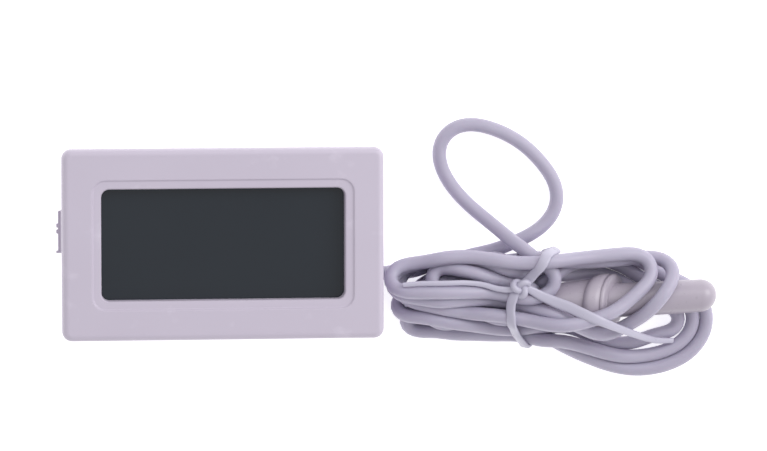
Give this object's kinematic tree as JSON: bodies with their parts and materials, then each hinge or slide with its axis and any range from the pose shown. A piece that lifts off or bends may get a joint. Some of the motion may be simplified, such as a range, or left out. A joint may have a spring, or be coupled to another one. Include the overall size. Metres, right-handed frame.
{
  "type": "panel thermometer with remote probe",
  "caption": "Small rectangular panel-mount digital thermometer with a dark display, side clips and a slim probe on a tied hank of thin white cord.",
  "frame": {"origin": "centre of the housing's flat back, on the surface that the thermometer lies on", "axes": "+X to the right of the display, towards the side that the cord leaves; +Y to the display's top edge; +Z out of the display"},
  "size_m": [0.1003, 0.0381, 0.0152],
  "materials": {
    "housing_white": "satin",
    "display_glass": "gloss",
    "display_film": "satin",
    "reflector_foil": "satin",
    "seal": "satin",
    "zebra_rubber": "matte",
    "board": "satin",
    "black_resin": "gloss",
    "ceramic_tan": "matte",
    "screw_steel": "satin",
    "contact_nickel": "satin",
    "cell_steel": "polished",
    "cell_gasket": "matte",
    "cord_white": "satin",
    "tie_white": "satin",
    "wire_red": "satin",
    "wire_black": "satin",
    "probe_white": "satin",
    "potting": "matte"
  },
  "bodies": {
    "housing": {"front_case": "housing_white", "rear_cover": "housing_white", "board_screws": "screw_steel", "display_polariser": "display_film", "display_front_glass": "display_glass", "display_seal": "seal", "display_rear_glass": "display_glass", "display_reflector": "reflector_foil", "zebra_strip_upper": "zebra_rubber", "zebra_strip_lower": "zebra_rubber", "circuit_board": "board", "controller_blob": "black_resin", "timing_crystal": "screw_steel", "chip_resistors": "black_resin", "chip_capacitors": "ceramic_tan", "contact_negative": "contact_nickel", "contact_bridge": "contact_nickel", "contact_positive": "contact_nickel", "cell_a_can": "cell_steel", "cell_a_gasket": "cell_gasket", "cell_a_cap": "cell_steel", "cell_b_can": "cell_steel", "cell_b_gasket": "cell_gasket", "cell_b_cap": "cell_steel", "cord_bushing": "housing_white", "cord_stop": "screw_steel", "cord_inner_end": "cord_white", "sensor_wire_a": "wire_red", "sensor_wire_b": "wire_black", "cord_exit_run": "cord_white", "cord_free_loop": "cord_white", "cord_hank": "cord_white", "cord_tie": "tie_white", "cord_probe_run": "cord_white", "probe_tail": "probe_white", "probe_collar": "probe_white", "probe_shell": "probe_white", "probe_potting": "potting", "probe_cord_end": "cord_white", "thermistor_bead": "black_resin", "thermistor_leads": "screw_steel"},
    "door": {"battery_door": "housing_white"},
    "left_clip": {"clip_left": "housing_white"},
    "right_clip": {"clip_right": "housing_white"}
  },
  "joints": [
    {"name": "battery_door_slide", "type": "slide", "parent": "housing", "child": "door", "axis": [0, -1, 0], "range_m": [0, 0.014]},
    {"name": "left_clip_flex", "type": "hinge", "parent": "housing", "child": "left_clip", "pos_m": [-0.0223, 0.0011, 0.0029], "axis": [0, 1, 0], "range_deg": [0, 17], "stiffness_Nm_per_rad": 0.08},
    {"name": "right_clip_flex", "type": "hinge", "parent": "housing", "child": "right_clip", "pos_m": [0.0223, 0.0011, 0.0029], "axis": [0, -1, 0], "range_deg": [0, 17], "stiffness_Nm_per_rad": 0.08}
  ]
}
